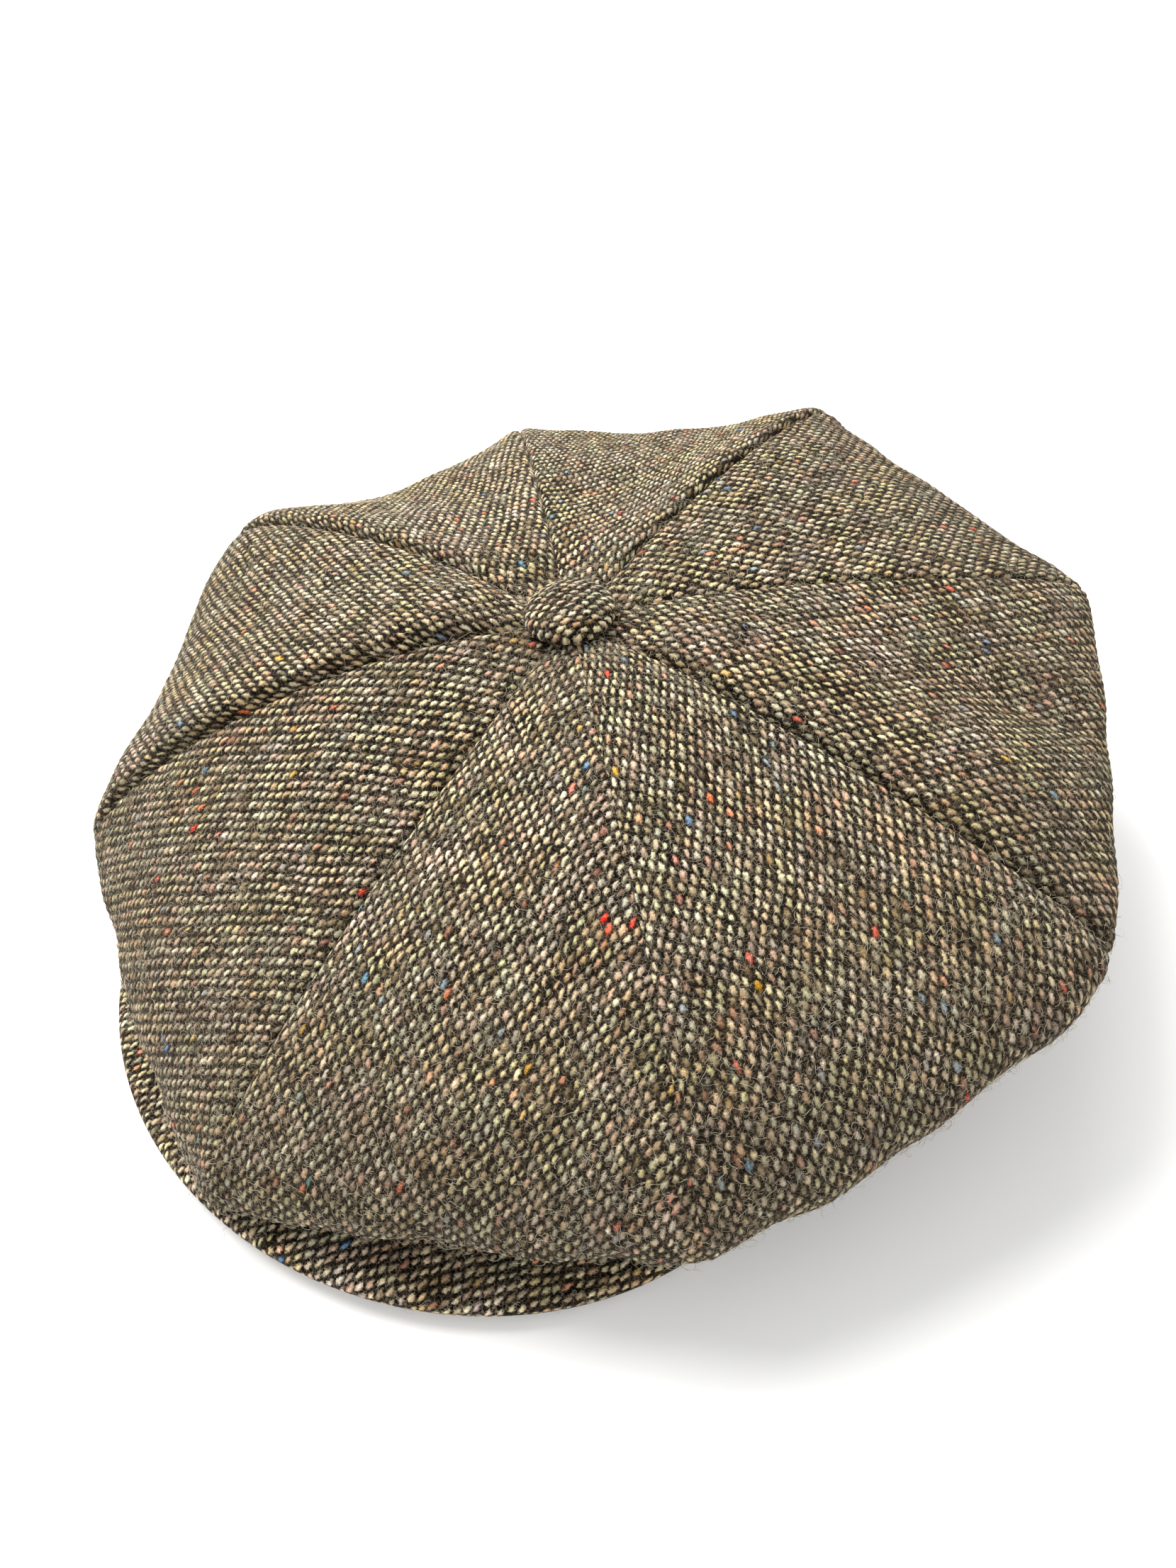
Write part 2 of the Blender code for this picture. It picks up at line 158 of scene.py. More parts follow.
def seam_profile(seam, along, lined):
    """(radius, height) of a seam: along runs from the apex (0) over the rim to the band (1)."""
    azimuth, reach, rim, handle, lift, shoulder, lip = SEAMS[seam % TURN]
    azimuth = math.radians(azimuth)
    reach, rim, lift, shoulder, lip = (n * MM for n in (reach, rim, lift, shoulder, lip))
    apex, foot, foot_height = APEX_HEIGHT, band_reach(azimuth, FOOT_REACH), FOOT_HEIGHT
    if lined:
        apex -= 3.4 * MM
        reach -= 8.0 * MM
        rim += 3.0 * MM
        shoulder *= 0.3
        lip *= 0.1
        foot -= 2.6 * MM
        foot_height += 1.0 * MM
    top = bezier(
        ((APEX_HOLE, apex), (handle * reach, apex + lift), (reach, rim + shoulder), (reach, rim)),
        np.minimum(along / RIM_ALONG, 1.0),
    )
    under = bezier(
        (
            (reach, rim), (reach, rim - lip),
            (foot + UNDER_HANDLE, foot_height - UNDER_SLOPE), (foot, foot_height),
        ),
        np.clip((along - RIM_ALONG) / (1.0 - RIM_ALONG), 0.0, 1.0),
    )
    return np.where((along <= RIM_ALONG)[:, None], top, under)


def seam_line(seam, along, lined):
    """A seam's points and, at each, the direction out of the cap in the seam's own plane."""
    azimuth = math.radians(SEAMS[seam % TURN][0])
    profile = seam_profile(seam, along, lined)
    points = profile[:, :1] * outward_of(azimuth)
    points[:, :2] += CROWN_CENTRE
    points[:, 2] = profile[:, 1]
    slope = unit(np.gradient(profile, along, axis=0))
    out = -slope[:, 1:] * outward_of(azimuth)
    out[:, 2] = slope[:, 0]
    return points, out


def panel_surface(panel, along, across, lined=False):
    """The panel's smooth outer side as a grid of points, rows along and columns across."""
    first, _ = seam_line(panel, along, lined)
    second, _ = seam_line(panel + 1, along, lined)
    foot_a, _ = seam_line(panel, np.array([0.99, 1.0]), lined)
    foot_b, _ = seam_line(panel + 1, np.array([0.99, 1.0]), lined)
    middle = (foot_a[-1, :2] + foot_b[-1, :2]) / 2 - CROWN_CENTRE
    reach = norm(middle)
    outward = np.array([*(middle / reach), 0.0])
    azimuth = math.atan2(outward[0], -outward[1])
    foot = band_reach(azimuth, FOOT_REACH) - (2.6 * MM if lined else 0.0)
    turned = smoothstep((along - RIM_ALONG) / (1.0 - RIM_ALONG))
    rim_puff = PANELS[panel][1] * MM * smoothstep(along / RIM_ALONG) * (1.0 - turned)
    top_puff = PANELS[panel][2] * MM * np.sin(math.pi * np.minimum(1.0, along / RIM_ALONG))
    bulge = (rim_puff + (foot - reach) * turned)[:, None] * outward
    bulge[:, 2] += top_puff
    u = across[None, :, None]
    grid = first[:, None] * (1 - u) / 2 + second[:, None] * (1 + u) / 2
    return grid + bulge[:, None] * (1.0 - u * u)


WAVE_COUNT = 7


def waves(x, y, seed, length):
    """Smooth unevenness of about unit height, from sines of about the given wavelength."""
    rng = np.random.default_rng(seed)
    total = np.zeros(np.broadcast(x, y).shape)
    for _ in range(WAVE_COUNT):
        angle, phase = rng.uniform(0, 2 * math.pi, 2)
        k = 2 * math.pi / (length * rng.uniform(0.7, 1.6))
        total += np.sin(k * (x * math.cos(angle) + y * math.sin(angle)) + phase)
    return total / math.sqrt(WAVE_COUNT)


def even_rows(panel, count, lined):
    """Row positions that stand evenly along the panel's middle line, and their distances."""
    fine = np.linspace(0.0, 1.0, 600)
    middle = panel_surface(panel, fine, np.array([0.0]), lined)[:, 0]
    step = norm(np.diff(middle, axis=0), axis=1)
    run = np.concatenate([[0.0], np.cumsum(step)])
    distance = np.linspace(0.0, run[-1], count)
    return np.interp(distance, run, fine), distance


def across_rows(grid):
    """Each point's signed distance along its row from the row's middle."""
    step = norm(np.diff(grid, axis=1), axis=2)
    run = np.concatenate([np.zeros((len(grid), 1)), np.cumsum(step, axis=1)], axis=1)
    return run - run[:, run.shape[1] // 2][:, None]


def grid_normals(grid):
    along = np.gradient(grid, axis=0)
    across = np.gradient(grid, axis=1)
    normal = np.cross(along, across)
    return normal / np.maximum(norm(normal, axis=2, keepdims=True), 1e-12)


def rolled(distance, height, width, fade):
    """Height of cloth that rolls up from a seam and sinks back further off."""
    t = np.clip(distance / width, 0.0, 1.0)
    past = np.maximum(distance - width, 0.0) / fade
    return height * np.sqrt(1 - (1 - t) ** 2) * np.exp(-0.8 * past * past)


YARN_ACROSS = 1.57 * MM
YARN_ALONG = 1.93 * MM
RELIEF = 0.20 * MM


def woven(x, y, turn, seed):
    """Place on the weave: turned by some degrees and with the yarns wandering a little."""
    angle = math.radians(turn)
    wander = 0.3 * MM
    across = x * math.cos(angle) + y * math.sin(angle) + wander * waves(x, y, seed, 38 * MM)
    along = y * math.cos(angle) - x * math.sin(angle) + wander * waves(x, y, seed + 1, 38 * MM)
    return across, along


def relief(across, along):
    """The weave's own bumps: light yarn over dark, then dark over light, like a chequerboard."""
    bumps = np.cos(math.pi * across / YARN_ACROSS) * np.cos(math.pi * along / YARN_ALONG)
    return RELIEF * bumps


# ---- meshes
def link(obj):
    bpy.context.scene.collection.objects.link(obj)
    return obj


def mesh_object(name, points, faces, weave, material, sharp=50.0):
    mesh = bpy.data.meshes.new(name)
    mesh.from_pydata(points, [], faces)
    mesh.update()
    if weave is not None:
        layer = mesh.attributes.new("weave", "FLOAT_VECTOR", "POINT")
        layer.data.foreach_set("vector", np.asarray(weave, np.float32).ravel())
    mesh.shade_smooth()
    if sharp:
        mesh.set_sharp_from_angle(angle=math.radians(sharp))
    mesh.materials.append(material)
    return link(bpy.data.objects.new(name, mesh))


def grid_faces(rows, columns, start, wrap):
    r = np.arange(rows - 1)[:, None]
    c = np.arange(columns if wrap else columns - 1)[None, :]
    d = (c + 1) % columns
    a, b = start + r * columns + c, start + r * columns + d
    return np.stack([a, b, b + columns, a + columns], -1).reshape(-1, 4)


def skin(name, outer, inner, weave, material, wrap=False, sharp=50.0, sparse=1):
    """A closed sheet between two grids of points, wrapped round if its rows are rings. The
    inner grid keeps only every so many rows and columns."""
    rows, columns = outer.shape[:2]
    inner = inner[::sparse, ::sparse]
    few_rows, few_columns = inner.shape[:2]
    count = rows * columns
    points = np.concatenate([outer.reshape(-1, 3), inner.reshape(-1, 3)])
    quads = [
        grid_faces(rows, columns, 0, wrap),
        grid_faces(few_rows, few_columns, count, wrap)[:, ::-1],
    ]
    faces = np.concatenate(quads).tolist()
    many = np.arange(count).reshape(rows, columns)
    few = count + np.arange(few_rows * few_columns).reshape(few_rows, few_columns)
    for i in (0, -1):
        upper, lower = many[i], few[i]
        if wrap:
            upper, lower = np.append(upper, upper[0]), np.append(lower, lower[0])
        if i == 0:
            upper, lower = upper[::-1], lower[::-1]
        faces += strip(upper, lower, sparse)
    if not wrap:
        faces += strip(many[:, 0], few[:, 0], sparse)
        faces += strip(many[::-1, -1], few[::-1, -1], sparse)
    if side_of(outer, inner, sparse) < 0:
        faces = [face[::-1] for face in faces]
    marks = np.concatenate([weave.reshape(-1, 3), weave[::sparse, ::sparse].reshape(-1, 3)])
    return mesh_object(name, points.tolist(), faces, marks, material, sharp)


def strip(upper, lower, sparse):
    """Faces between two edges, the lower with one point for every so many of the upper."""
    faces = []
    for k in range(len(lower) - 1):
        run = upper[k * sparse : (k + 1) * sparse + 1].tolist()
        faces.append([*run, int(lower[k + 1]), int(lower[k])])
    return faces


def side_of(outer, inner, sparse):
    """Positive if the outer grid's own faces look away from the inner grid."""
    part = outer[::sparse, ::sparse]
    across = part[1:, 1:] - part[1:, :-1]
    along = part[1:, 1:] - part[:-1, 1:]
    normal = np.cross(across, along)
    return (normal * (part[1:, 1:] - inner[1:, 1:])).sum()


# ---- materials
class Graph:
    """A small builder for node materials: every method returns an output socket."""

    def __init__(self, name, roughness=0.9, metallic=0.0, sheen=0.0, specular=0.3):
        self.material = bpy.data.materials.new(name)
        self.material.use_nodes = True
        self.tree = self.material.node_tree
        self.shader = self.tree.nodes["Principled BSDF"]
        for socket, value in (
            ("Roughness", roughness), ("Metallic", metallic), ("Sheen Weight", sheen),
            ("Sheen Roughness", 0.5), ("Specular IOR Level", specular),
        ):
            self.shader.inputs[socket].default_value = value

    def node(self, kind, **settings):
        node = self.tree.nodes.new("ShaderNode" + kind)
        for key, value in settings.items():
            setattr(node, key, value)
        return node

    def feed(self, socket, value):
        if isinstance(value, bpy.types.NodeSocket):
            self.tree.links.new(value, socket)
        elif value is not None:
            socket.default_value = value

    def math(self, operation, a, b=None, c=None, clamp=False):
        node = self.node("Math", operation=operation, use_clamp=clamp)
        for socket, value in zip(node.inputs, (a, b, c)):
            self.feed(socket, value)
        return node.outputs[0]

    def add(self, a, b):
        return self.math("ADD", a, b)

    def times(self, a, b):
        return self.math("MULTIPLY", a, b)

    def madd(self, a, b, c):
        """a times b, plus c."""
        return self.math("MULTIPLY_ADD", a, b, c)

    def centred(self, value):
        return self.math("SUBTRACT", value, 0.5)

    def vector(self, operation, a, b):
        node = self.node("VectorMath", operation=operation)
        self.feed(node.inputs[0], a)
        self.feed(node.inputs[1], b)
        return node.outputs["Vector"]

    def join(self, x, y, z):
        node = self.node("CombineXYZ")
        for socket, value in zip(node.inputs, (x, y, z)):
            self.feed(socket, value)
        return node.outputs[0]

    def split(self, vector):
        node = self.node("SeparateXYZ")
        self.feed(node.inputs[0], vector)
        return node.outputs

    def noise(self, vector, scale, detail=2.0, roughness=0.5, colour=False):
        node = self.node("TexNoise")
        self.feed(node.inputs["Vector"], vector)
        node.inputs["Scale"].default_value = scale
        node.inputs["Detail"].default_value = detail
        node.inputs["Roughness"].default_value = roughness
        return node.outputs["Color" if colour else "Fac"]

    def random(self, vector):
        """Three unrelated random numbers for each whole-numbered vector."""
        node = self.node("TexWhiteNoise", noise_dimensions="3D")
        self.feed(node.inputs["Vector"], vector)
        return self.split(node.outputs["Color"])

    def ramp(self, value, stops, interpolation="LINEAR"):
        node = self.node("ValToRGB")
        node.color_ramp.interpolation = interpolation
        while len(node.color_ramp.elements) < len(stops):
            node.color_ramp.elements.new(0.5)
        for element, (place, colour) in zip(node.color_ramp.elements, stops):
            element.position = place
            element.color = (*tone(*colour), 1.0)
        self.feed(node.inputs[0], value)
        return node.outputs["Color"]

    def step(self, value, low, high):
        """0 below low, 1 above high, and smooth between; low may be above high."""
        node = self.node("MapRange", interpolation_type="SMOOTHSTEP")
        self.feed(node.inputs["Value"], value)
        ends = (high, low, 1.0, 0.0) if low > high else (low, high, 0.0, 1.0)
        for socket, end in zip(("From Min", "From Max", "To Min", "To Max"), ends):
            node.inputs[socket].default_value = end
        return node.outputs["Result"]

    def mix(self, factor, a, b, blend="MIX"):
        node = self.node("Mix", data_type="RGBA", blend_type=blend)
        self.feed(node.inputs["Factor"], factor)
        for socket, value in ((node.inputs[6], a), (node.inputs[7], b)):
            if isinstance(value, tuple):
                value = (*value, 1.0)
            self.feed(socket, value)
        return node.outputs[2]

    def shade(self, colour, level):
        """The colour times a level that is the same in red, green and blue."""
        return self.mix(1.0, colour, self.join(level, level, level), "MULTIPLY")

    def weave(self):
        """The place on the cloth, with the sheet's own number as its third value."""
        return self.node("Attribute", attribute_name="weave").outputs["Vector"]

    def place(self):
        return self.node("TexCoord").outputs["Object"]

    def bump(self, height, distance, strength):
        node = self.node("Bump")
        node.inputs["Strength"].default_value = strength
        node.inputs["Distance"].default_value = distance
        self.feed(node.inputs["Height"], height)
        return node.outputs[0]

    def finish(self, colour, normal=None, roughness=None):
        self.feed(self.shader.inputs["Base Color"], colour)
        self.feed(self.shader.inputs["Normal"], normal)
        self.feed(self.shader.inputs["Roughness"], roughness)
        return self.material


def tone(red, green, blue):
    """A linear colour from its 0 to 255 display values."""
    return tuple((c / 255.0) ** 2.2 for c in (red, green, blue))


BEAD_TONES = (
    (0.00, (222, 211, 182)), (0.18, (202, 192, 156)), (0.34, (186, 172, 146)),
    (0.48, (212, 194, 166)), (0.60, (184, 180, 160)), (0.72, (152, 136, 112)),
    (0.85, (200, 172, 146)), (0.95, (120, 104, 84)),
)
NEP_TONES = (
    (0.00, (226, 44, 34)), (0.25, (44, 128, 180)), (0.45, (220, 168, 44)),
    (0.60, (226, 96, 48)), (0.72, (50, 122, 128)), (0.82, (214, 110, 100)),
    (0.92, (106, 34, 34)),
)
DARK_TONES = (
    (0.0, (15, 10, 7)), (0.5, (25, 18, 12)), (0.85, (42, 31, 22)),
    (1.0, (27, 28, 28)),
)
FIBRE_TONE = tone(190, 174, 146)
NAP_TONE = tone(118, 103, 84)
LINT_TONE = tone(126, 110, 88)
BEAD_LEAN = 0.14
BEAD_HALF_WIDTH, BEAD_HALF_HEIGHT = 0.45, 0.68
GAP_HALF_WIDTH, GAP_HALF_HEIGHT = 0.75, 0.5
# The nap stands up, and the cloth is painted darker as shade, from one distance to the other
# down a panel from the button.
NAP_AND_PAINTED_SHADE_FROM, NAP_AND_PAINTED_SHADE_TO = 80 * MM, 190 * MM
# Sheets are numbered by their seed, and those from this number on are the peak's, whose tweed
# is painted brighter as light.
PEAK_SEEDS_FROM = 39.0


def make_tweed():
    g = Graph("tweed_weave", roughness=0.95, sheen=0.03, specular=0.08)
    place = g.weave()
    x, y, seed = g.split(place)
    fleece, tangle_a, tangle_b = g.split(g.noise(place, 1300.0, 1.6, 0.65, colour=True))
    curl_a, curl_b, curl_c = g.split(g.noise(place, 520.0, 1.2, 0.5, colour=True))
    cloud, haze, mottle = g.split(g.noise(place, 75.0, 2.5, 0.65, colour=True))
    nap_and_painted_shade = g.step(g.madd(cloud, 50 * MM, y), NAP_AND_PAINTED_SHADE_FROM, NAP_AND_PAINTED_SHADE_TO)
    clump, sway_x, sway_y = g.split(g.noise(place, 210.0, 1.5, 0.55, colour=True))

    # The yarns wander a little, each on its own, so that the lattice isn't ruled.
    column = g.math("DIVIDE", x, YARN_ACROSS)
    row = g.math("DIVIDE", y, YARN_ALONG)
    column = g.madd(g.centred(sway_x), 0.9, column)
    row = g.madd(g.centred(sway_y), 0.9, row)
    a = g.times(g.add(column, row), 0.5)
    b = g.times(g.math("SUBTRACT", column, row), 0.5)

    # The light yarn's floats: one bead in each diamond of the lattice.
    a_half, b_half = g.add(a, 0.5), g.add(b, 0.5)
    cell = g.join(g.math("FLOOR", a_half), g.math("FLOOR", b_half), seed)
    chance, nudge, size = g.random(cell)
    fa = g.centred(g.math("FRACT", a_half))
    fb = g.centred(g.math("FRACT", b_half))
    dx = g.madd(g.centred(nudge), 0.22, g.add(fa, fb))
    dy = g.madd(g.centred(size), 0.16, g.math("SUBTRACT", fa, fb))
    leaning = g.madd(dy, BEAD_LEAN, dx)
    fuller = g.madd(g.centred(clump), 0.9, 0.84)
    grow = g.madd(chance, 0.26, fuller)
    ex = g.math("DIVIDE", leaning, BEAD_HALF_WIDTH)
    ey = g.math("DIVIDE", dy, BEAD_HALF_HEIGHT)
    radius = g.math("SQRT", g.madd(ex, ex, g.times(ey, ey)))
    radius = g.math("DIVIDE", radius, grow)

    # Wool fibres twist over each bead at a slant and fray its edge.
    over = g.madd(y, 0.35, x)
    down = g.madd(x, -0.35, y)
    strand = g.join(g.times(over, 2900.0), g.times(down, 800.0), seed)
    strand = g.noise(strand, 1.0, 1.5, 0.6)
    fray = g.madd(g.centred(strand), 0.8, g.centred(fleece))
    ragged = g.madd(fray, 1.5, radius)
    bead = g.step(ragged, 1.22, 0.62)
    dome = g.math("SUBTRACT", 1.0, g.times(ragged, ragged), clamp=True)

    # The dark yarn's floats, across the light ones, in the gaps.
    gx = g.centred(g.math("FRACT", a))
    gy = g.centred(g.math("FRACT", b))
    wide = g.math("DIVIDE", g.add(gx, gy), GAP_HALF_WIDTH)
    tall = g.math("DIVIDE", g.math("SUBTRACT", gx, gy), GAP_HALF_HEIGHT)
    gap = g.madd(wide, wide, g.times(tall, tall))
    gap_dome = g.math("SUBTRACT", 1.0, gap, clamp=True)
    gap_cell = g.join(g.math("FLOOR", a), g.math("FLOOR", b), g.add(seed, 9.0))
    dark_chance = g.random(gap_cell)[0]

    # Colours: each bead its own, flecks of coloured wool, and slow changes along the yarn.
    bead_tone = g.ramp(chance, BEAD_TONES)
    fleck, fleck_pick, fleck_share = g.random(g.vector("ADD", cell, (7.3, 2.9, 0.4)))
    fleck_tone = g.ramp(fleck_pick, NEP_TONES, "CONSTANT")
    share = g.madd(g.times(fleck_share, fleck_share), 0.68, 0.30)
    nep = g.times(g.step(fleck, 0.969, 0.971), share)
    hint = g.times(g.step(fleck, 0.84, 0.842), 0.16)
    bead_tone = g.mix(g.math("MAXIMUM", nep, hint), bead_tone, fleck_tone)
    streak = g.noise(g.vector("MULTIPLY", place, (330.0, 40.0, 1.0)), 1.0, 1.0, 0.6)
    light = g.madd(streak, 0.9, g.madd(cloud, 1.5, -0.20))
    grain = g.madd(tangle_a, 1.5, g.madd(strand, 1.4, -0.42))
    light = g.times(light, g.math("MAXIMUM", grain, 0.15))
    uneven = g.madd(g.centred(clump), 1.3, 1.0)
    light = g.times(light, uneven)
    bead_tone = g.shade(bead_tone, light)
    tint = g.mix(g.step(haze, 0.36, 0.64), (1.05, 1.0, 0.82), (0.98, 1.0, 1.05))
    bead_tone = g.mix(1.0, bead_tone, tint, "MULTIPLY")
    blush = g.mix(g.step(mottle, 0.36, 0.64), (0.97, 1.02, 0.92), (1.07, 0.98, 1.03))
    bead_tone = g.mix(1.0, bead_tone, blush, "MULTIPLY")
    dark_tone = g.ramp(dark_chance, DARK_TONES)
    lint = g.step(tangle_b, 0.50, 0.72)
    lint = g.times(lint, g.madd(nap_and_painted_shade, 0.4, 0.35))
    dark_tone = g.mix(lint, dark_tone, LINT_TONE)
    colour = g.mix(bead, dark_tone, bead_tone)

    # Loose wool lies over both in fine curls, where any of three fields crosses its middle.
    loose = None
    for field, width in ((curl_a, 0.016), (curl_b, 0.013), (curl_c, 0.018)):
        line = g.step(g.math("ABSOLUTE", g.centred(field)), width, 0.3 * width)
        loose = line if loose is None else g.math("MAXIMUM", loose, line)
    shown = g.madd(g.step(haze, 0.36, 0.60), 0.35, g.times(nap_and_painted_shade, 0.45))
    loose = g.times(loose, g.add(shown, 0.1))
    colour = g.mix(loose, colour, FIBRE_TONE)
    height = g.math("MAXIMUM", dome, g.times(gap_dome, 0.5))
    # Painted shade: the colour is darkened where the cloth lies low, in the gaps between beads and
    # round the beads' edges.
    depth = g.madd(height, 0.62, 0.32)
    colour = g.shade(colour, depth)
    colour = g.mix(g.times(nap_and_painted_shade, 0.08), colour, NAP_TONE)
    # Painted light and shade: the cloth is painted brighter where the mask is low, near the button,
    # and darker down towards the rim.
    metal_wear_and_cloth_painted_shading = g.madd(nap_and_painted_shade, -0.38, 1.19)
    # Painted light: the peak's sheets are painted brighter still.
    metal_wear_and_cloth_painted_shading = g.madd(g.step(seed, PEAK_SEEDS_FROM - 1.0, PEAK_SEEDS_FROM), 0.22, metal_wear_and_cloth_painted_shading)
    colour = g.shade(colour, metal_wear_and_cloth_painted_shading)
    height = g.madd(loose, 0.25, height)
    height = g.madd(strand, 0.35, height)
    return g.finish(colour, g.bump(height, 0.35 * MM, 0.9))


TWILL_PITCH = 0.35 * MM


def make_satin():
    g = Graph("lining_satin_weave", roughness=0.38, sheen=0.3, specular=0.5)
    place = g.weave()
    x, y, _ = g.split(place)
    slanted = g.add(x, g.times(y, 0.6))
    twill = g.math("SINE", g.times(slanted, 2 * math.pi / TWILL_PITCH))
    cloud = g.noise(place, 40.0, 3.0)
    tint = g.mix(cloud, tone(58, 46, 36), tone(84, 68, 54))
    colour = g.mix(g.madd(twill, 0.12, 0.12), tint, tone(120, 102, 84))
    crease = g.noise(g.vector("MULTIPLY", place, (1.0, 0.45, 1.0)), 120.0, 3.0, 0.55)
    height = g.madd(twill, 0.02, crease)
    rough = g.madd(cloud, 0.2, 0.3)
    return g.finish(colour, g.bump(height, 1.2 * MM, 0.5), rough)


def make_ribbed(name, dark, light, pitch):
    """A ribbed tape, its ribs standing across its length."""
    g = Graph(name, roughness=0.75, sheen=0.15, specular=0.25)
    place = g.weave()
    x, y, _ = g.split(place)
    rib = g.math("ABSOLUTE", g.math("SINE", g.times(x, math.pi / pitch)))
    warp = g.math("SINE", g.times(y, 2 * math.pi / (0.5 * MM)))
    fine = g.noise(place, 1800.0, 2.0)
    wear = g.noise(place, 45.0, 3.0)
    uneven = g.times(g.add(fine, wear), 0.25)
    shade = g.add(g.times(rib, 0.55), uneven)
    height = g.madd(warp, 0.08, rib)
    return g.finish(g.mix(shade, dark, light), g.bump(height, 0.25 * MM, 0.9))


def make_open_weave(name, dark, light, pitch):
    g = Graph(name, roughness=0.9, specular=0.2)
    place = g.place()
    x, _, z = g.split(place)
    warp = g.math("ABSOLUTE", g.math("SINE", g.times(x, math.pi / pitch)))
    weft = g.math("ABSOLUTE", g.math("SINE", g.times(z, math.pi / pitch)))
    height = g.math("MAXIMUM", warp, weft)
    fine = g.noise(place, 900.0, 3.0)
    shade = g.times(height, g.madd(fine, 0.5, 0.6))
    return g.finish(g.mix(shade, dark, light), g.bump(height, 0.3 * MM, 0.8))


def make_board(name, dark, light):
    g = Graph(name, roughness=0.5, specular=0.4)
    place = g.place()
    grain = g.noise(place, 700.0, 4.0, 0.6)
    return g.finish(g.mix(grain, dark, light), g.bump(grain, 0.15 * MM, 0.5))


def make_metal(name, colour, metal_wear_and_cloth_painted_shading, scale):
    g = Graph(name, roughness=0.35, metallic=1.0, specular=0.5)
    place = g.place()
    patina = g.noise(place, scale, 4.0, 0.65)
    scratch = g.noise(g.vector("MULTIPLY", place, (1.0, 12.0, 1.0)), scale * 2.0, 3.0)
    rough = g.madd(patina, 0.35, 0.2)
    height = g.add(scratch, patina)
    tint = g.mix(g.step(patina, 0.42, 0.66), metal_wear_and_cloth_painted_shading, colour)
    return g.finish(tint, g.bump(height, 0.03 * MM, 0.6), rough)


def make_thread(name, colour):
    g = Graph(name, roughness=0.6, sheen=0.3)
    place = g.place()
    twist = g.noise(place, 3000.0, 2.0)
    shaded = tuple(c * 0.6 for c in colour)
    return g.finish(g.mix(twist, shaded, colour), g.bump(twist, 0.1 * MM, 0.7))


TWEED = make_tweed()
SATIN = make_satin()
SWEAT = make_ribbed("sweatband_rib", tone(28, 25, 23), tone(74, 67, 60), 0.8 * MM)
TAPE = make_ribbed("tab_tape", tone(168, 160, 142), tone(222, 216, 200), 0.45 * MM)
BUCKRAM = make_open_weave("buckram_weave", tone(150, 142, 122), tone(214, 206, 186), 0.9 * MM)
BOARD = make_board("peak_board_grain", tone(44, 44, 46), tone(78, 78, 80))
METAL = make_metal("button_metal_sheet", tone(196, 196, 194), tone(150, 150, 148), 400.0)
BRASS = make_metal("snap_brass_aged", tone(176, 148, 92), tone(98, 80, 50), 700.0)
THREAD = make_thread("dark_thread", tone(70, 58, 44))
FUZZ = make_thread("wool_fibre", tone(206, 194, 166))


def on_cap(piece, replaced=None):
    """The piece moves with the cap, and stands for a CAD node if one is named."""
    if replaced:
        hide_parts(replaced)
    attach(piece, "cap")


def across_root(piece, replaced=None):
    """The piece's transform is baked into its points, and it stands for a CAD node if one is named.
    """
    if replaced:
        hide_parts(replaced)
    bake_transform(piece)


# ---- crown
# How far along its panel a roll beside a seam starts to fade, and the one roll (panel, seam)
# that runs further.
ROLL_END, LONG_ROLL_END = 0.45, 0.62
LONG_ROLL = (5, 6)
ROWS, COLUMNS = ((401, 221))


def swells(panel, x, y, near):
    """The panel's own swells and dents, which its lining follows."""
    total = np.zeros_like(x)
    for which, at_x, at_y, wide, tall, height in SWELLS:
        if which == panel:
            spread = ((x / MM - at_x) / wide) ** 2 + ((y / MM - at_y) / tall) ** 2
            total += height * MM * np.exp(-spread) * smoothstep(near / (6 * MM))
    return total


def face_seams(normal, panel, along, x, spread, lined):
    """The normals, turned near a panel's two seams into the seams' own outward directions."""
    for seam, away in ((panel, x - x[:, :1]), (panel + 1, x[:, -1:] - x)):
        _, out = seam_line(seam, along, lined)
        share = np.exp(-((away / spread) ** 2))[..., None]
        normal = normal * (1 - share) + out[:, None] * share
    return unit(normal)


